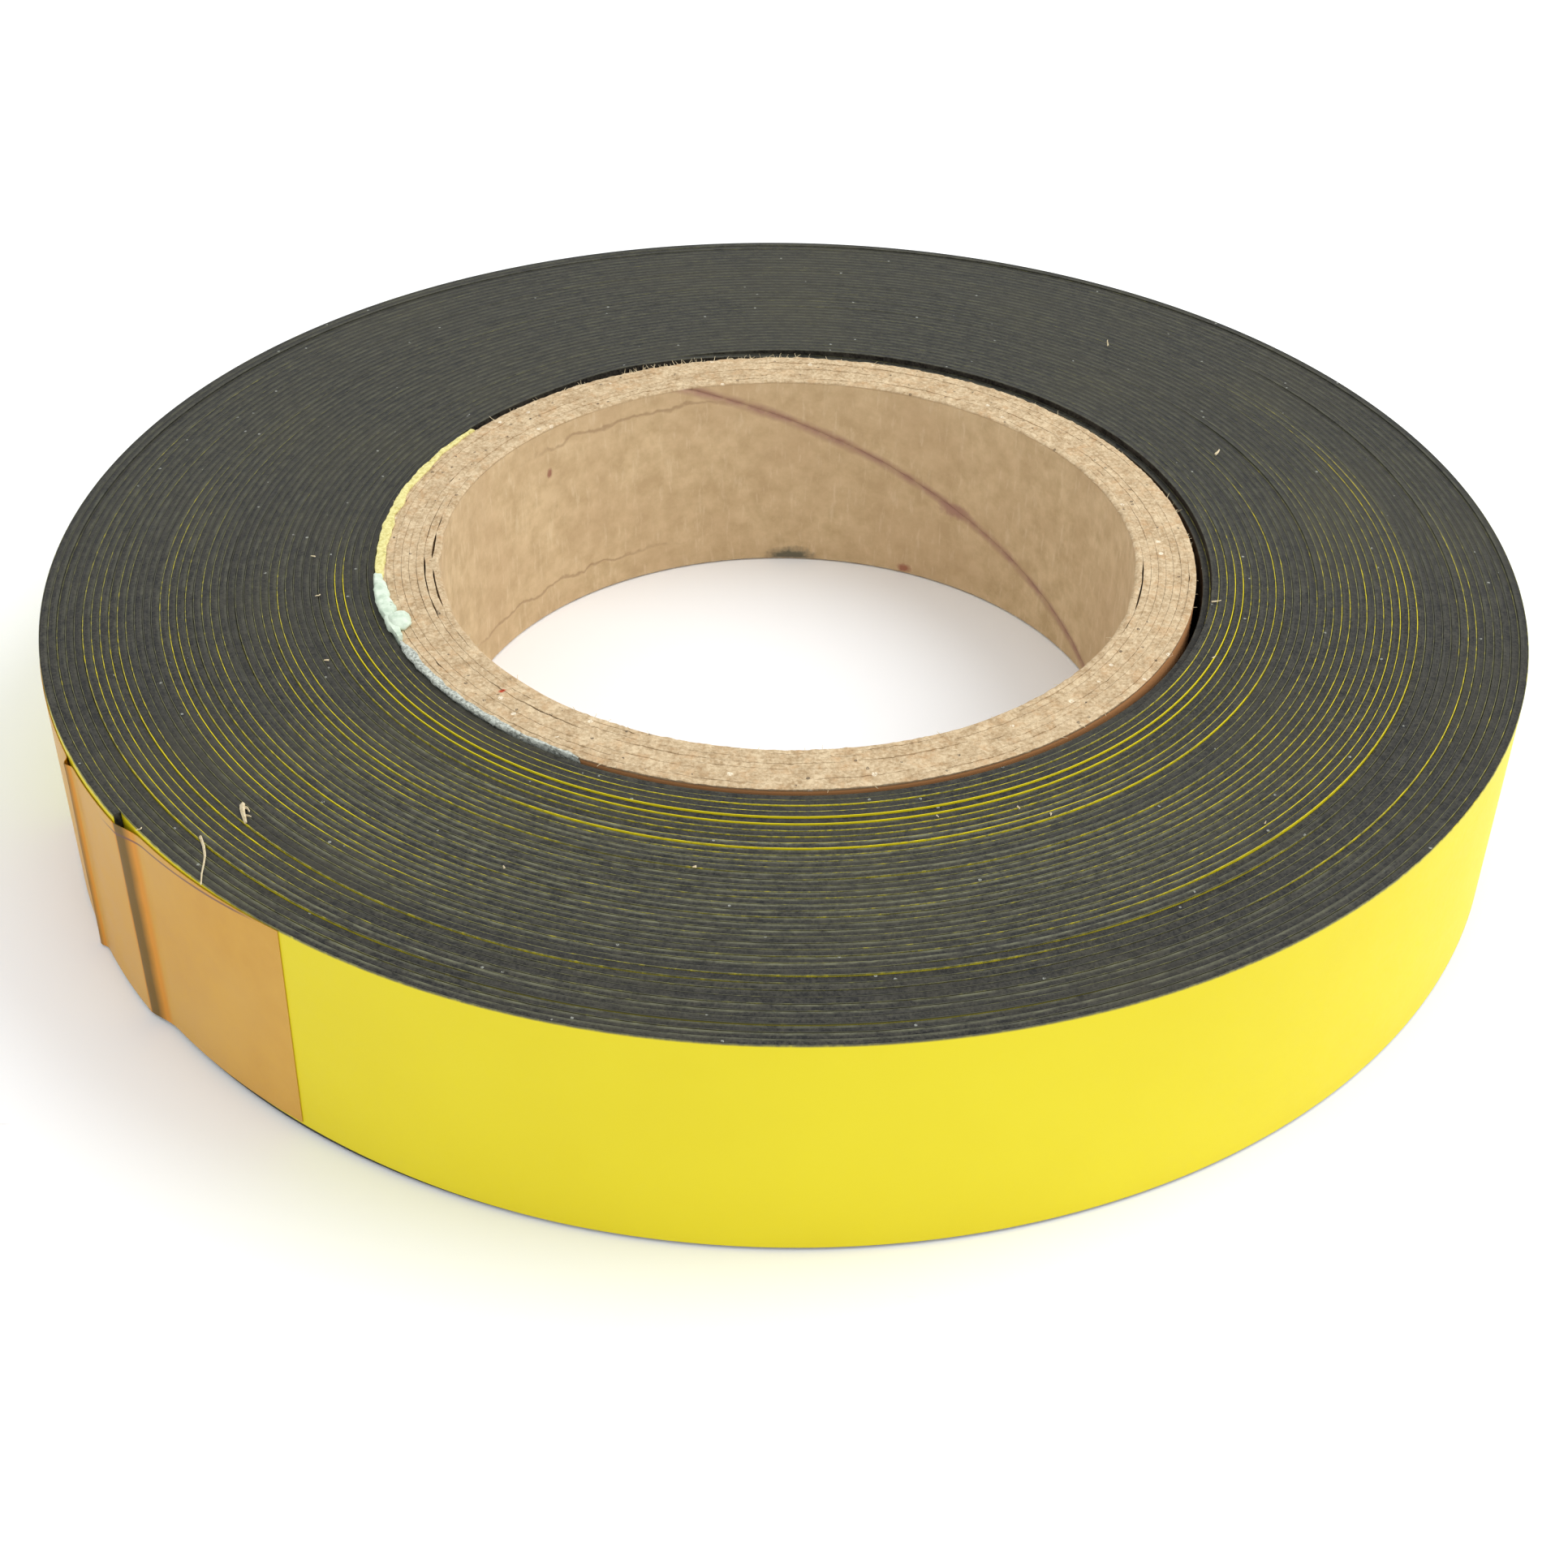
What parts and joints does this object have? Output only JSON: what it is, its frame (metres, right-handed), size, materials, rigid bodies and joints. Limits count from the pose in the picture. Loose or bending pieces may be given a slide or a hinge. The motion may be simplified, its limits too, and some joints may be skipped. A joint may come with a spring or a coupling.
{
  "type": "magnetic strip roll",
  "caption": "Roll of flexible magnetic strip with a yellow vinyl face, wound on a cardboard core, its free end held by packing tape.",
  "frame": {"origin": "on the axis of the core's bore, in the plane that the roll lies on", "axes": "+Z along the core's axis, up from the face it lies on; -Y towards the front, where the strip's outer turn shows; the strip's outer end is at 218.5 degrees from +X"},
  "size_m": [0.159, 0.1585, 0.0256],
  "materials": {
    "cardboard": "matte",
    "ferrite_rubber": "matte",
    "yellow_vinyl": "satin",
    "packing_tape": "gloss",
    "yellow_foam": "matte",
    "mint_glue": "matte",
    "grey_foam": "matte"
  },
  "bodies": {
    "roll": {"core_ply_1": "cardboard", "core_ply_2": "cardboard", "core_ply_3": "cardboard", "core_ply_4": "cardboard", "core_ply_5": "cardboard", "core_ply_6": "cardboard", "core_ply_7": "cardboard", "core_ply_8": "cardboard", "yellow_foam_tape": "yellow_foam", "glue_bead": "mint_glue", "grey_foam_tape": "grey_foam", "inner_turn_ferrite": "ferrite_rubber", "inner_turn_vinyl": "yellow_vinyl", "turn_group_1": "ferrite_rubber", "turn_group_2": "ferrite_rubber", "turn_group_3": "ferrite_rubber", "turn_group_4": "ferrite_rubber", "turn_group_5": "ferrite_rubber", "outer_turn_ferrite": "ferrite_rubber", "outer_turn_vinyl": "yellow_vinyl"},
    "free_end_1": {"free_end_1_ferrite": "ferrite_rubber", "free_end_1_vinyl": "yellow_vinyl"},
    "free_end_2": {"free_end_2_ferrite": "ferrite_rubber", "free_end_2_vinyl": "yellow_vinyl"},
    "free_end_3": {"free_end_3_ferrite": "ferrite_rubber", "free_end_3_vinyl": "yellow_vinyl"},
    "free_end_4": {"free_end_4_ferrite": "ferrite_rubber", "free_end_4_vinyl": "yellow_vinyl"},
    "free_end_5": {"free_end_5_ferrite": "ferrite_rubber", "free_end_5_vinyl": "yellow_vinyl", "closing_tape_start": "packing_tape"},
    "free_end_6": {"free_end_6_ferrite": "ferrite_rubber", "free_end_6_vinyl": "yellow_vinyl", "closing_tape_middle": "packing_tape"},
    "tape_tail": {"closing_tape_tail": "packing_tape"},
    "tape_tip": {"closing_tape_tip": "packing_tape"}
  },
  "joints": [
    {"name": "unroll_1", "type": "hinge", "parent": "roll", "child": "free_end_1", "pos_m": [-0.04956, 0.06231, 0.0127], "axis": [0, 0, -1], "range_deg": [0, 15]},
    {"name": "unroll_2", "type": "hinge", "parent": "free_end_1", "child": "free_end_2", "pos_m": [-0.06403, 0.04738, 0.0127], "axis": [0, 0, -1], "range_deg": [0, 15]},
    {"name": "unroll_3", "type": "hinge", "parent": "free_end_2", "child": "free_end_3", "pos_m": [-0.07414, 0.0292, 0.0127], "axis": [0, 0, -1], "range_deg": [0, 15]},
    {"name": "unroll_4", "type": "hinge", "parent": "free_end_3", "child": "free_end_4", "pos_m": [-0.07921, 0.00903, 0.0127], "axis": [0, 0, -1], "range_deg": [0, 15]},
    {"name": "unroll_5", "type": "hinge", "parent": "free_end_4", "child": "free_end_5", "pos_m": [-0.07888, -0.01179, 0.0127], "axis": [0, 0, -1], "range_deg": [0, 15]},
    {"name": "unroll_6", "type": "hinge", "parent": "free_end_5", "child": "free_end_6", "pos_m": [-0.07318, -0.03182, 0.0127], "axis": [0, 0, -1], "range_deg": [0, 15]},
    {"name": "tape_peel", "type": "hinge", "parent": "free_end_6", "child": "tape_tail", "pos_m": [-0.06255, -0.04979, 0.0127], "axis": [0, 0, -1], "range_deg": [0, 80]},
    {"name": "tape_curl", "type": "hinge", "parent": "tape_tail", "child": "tape_tip", "pos_m": [-0.05241, -0.05924, 0.0127], "axis": [0, 0, -1], "range_deg": [0, 32]}
  ],
  "couplings": [
    {"joint": "unroll_2", "follows": "unroll_1", "ratio": 1},
    {"joint": "unroll_3", "follows": "unroll_1", "ratio": 1},
    {"joint": "unroll_4", "follows": "unroll_1", "ratio": 1},
    {"joint": "unroll_5", "follows": "unroll_1", "ratio": 1},
    {"joint": "unroll_6", "follows": "unroll_1", "ratio": 1},
    {"joint": "tape_curl", "follows": "tape_peel", "ratio": 0.4}
  ]
}
